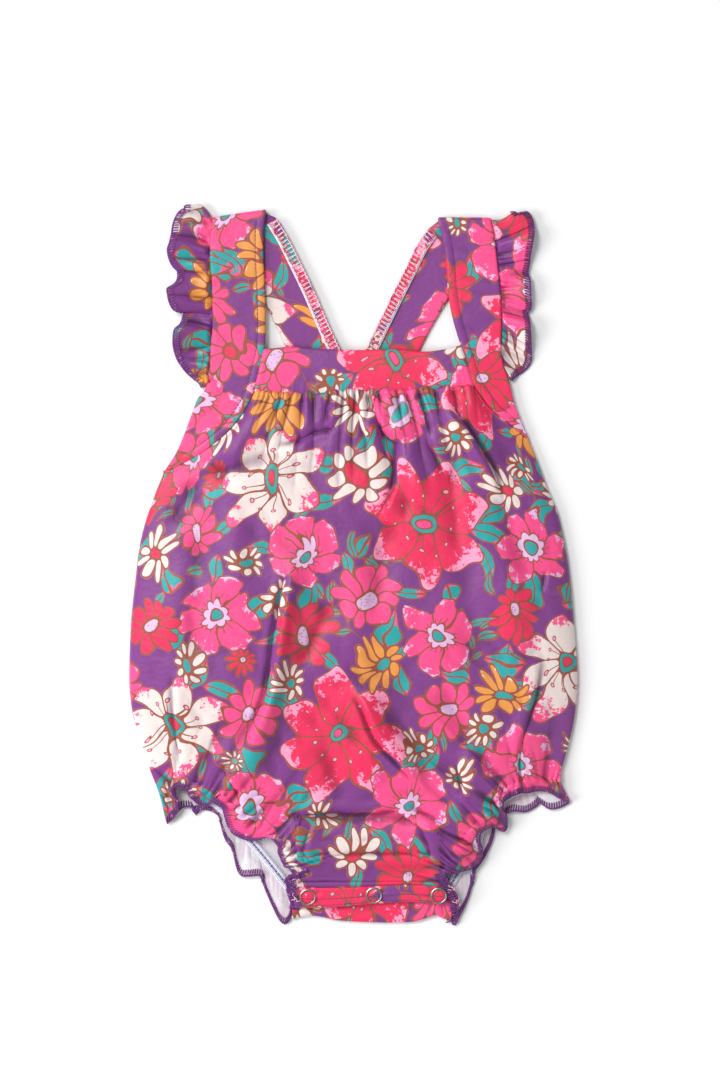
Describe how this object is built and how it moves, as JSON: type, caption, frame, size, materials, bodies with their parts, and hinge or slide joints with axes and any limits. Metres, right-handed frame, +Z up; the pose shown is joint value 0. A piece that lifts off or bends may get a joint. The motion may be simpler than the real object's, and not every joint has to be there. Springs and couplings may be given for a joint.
{
  "type": "baby romper",
  "caption": "Sleeveless bubble romper laid flat: gathered front under a bib band, frilled shoulder straps crossing to the back, elastic leg frills and a snap crotch.",
  "frame": {"origin": "middle of the garment's outline as it lies, on the surface under it", "axes": "+X to the right of the picture, +Y from the crotch to the shoulders, +Z up out of the garment's front"},
  "size_m": [0.2604, 0.4202, 0.017],
  "materials": {
    "printed_jersey": "smooth stretch jersey with a soft sheen, printed with pink, red, cream, orange and teal flowers on purple",
    "elastic_casing": "pale lavender knit tape, matt",
    "snap_metal": "satin nickel"
  },
  "bodies": {
    "root": {"front": "printed_jersey", "back": "printed_jersey", "bib": "printed_jersey", "strap_left": "printed_jersey", "strap_right": "printed_jersey", "ruffle_left": "printed_jersey", "ruffle_right": "printed_jersey", "seam_left": "printed_jersey", "seam_right": "printed_jersey", "placket_front": "printed_jersey", "placket_back": "printed_jersey", "elastic_left": "elastic_casing", "elastic_right": "elastic_casing", "snap_ring_1": "snap_metal", "snap_ring_2": "snap_metal", "snap_ring_3": "snap_metal", "snap_fastener_1": "snap_metal", "snap_fastener_2": "snap_metal", "snap_fastener_3": "snap_metal"}
  },
  "joints": []
}
